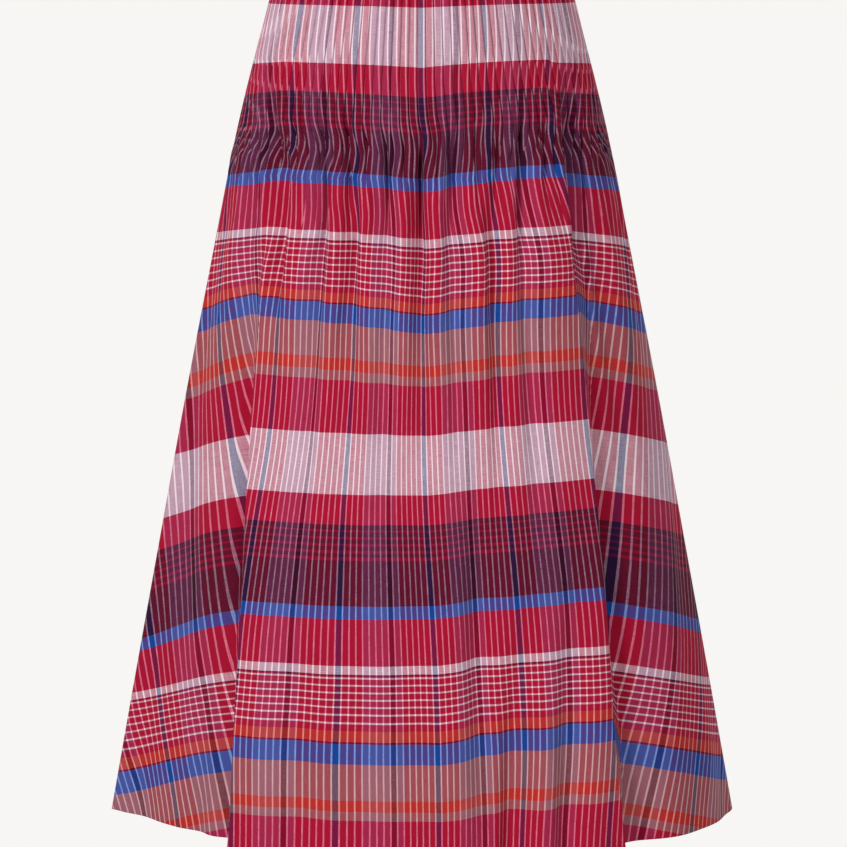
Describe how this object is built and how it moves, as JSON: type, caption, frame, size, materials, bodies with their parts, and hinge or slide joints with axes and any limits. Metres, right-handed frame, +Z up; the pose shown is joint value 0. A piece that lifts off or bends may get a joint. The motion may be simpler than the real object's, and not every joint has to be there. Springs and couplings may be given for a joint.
{
  "type": "checked skirt",
  "caption": "Long flared skirt of checked cotton, tucked from the waistband to the hip line and hollow inside, filled out as if worn.",
  "frame": {"origin": "middle of the waist, level with the waistband's top edge", "axes": "+Z up, the skirt's front faces -Y, +X to the viewer's right of the front"},
  "size_m": [0.632, 0.37, 0.9],
  "materials": {
    "check_cotton": "matte plain-woven cotton in a multicoloured check",
    "band_cotton": "matte plain-woven cotton, doubled"
  },
  "bodies": {
    "root": {"front_panel": "check_cotton", "back_panel": "check_cotton", "waistband": "band_cotton"}
  },
  "joints": []
}
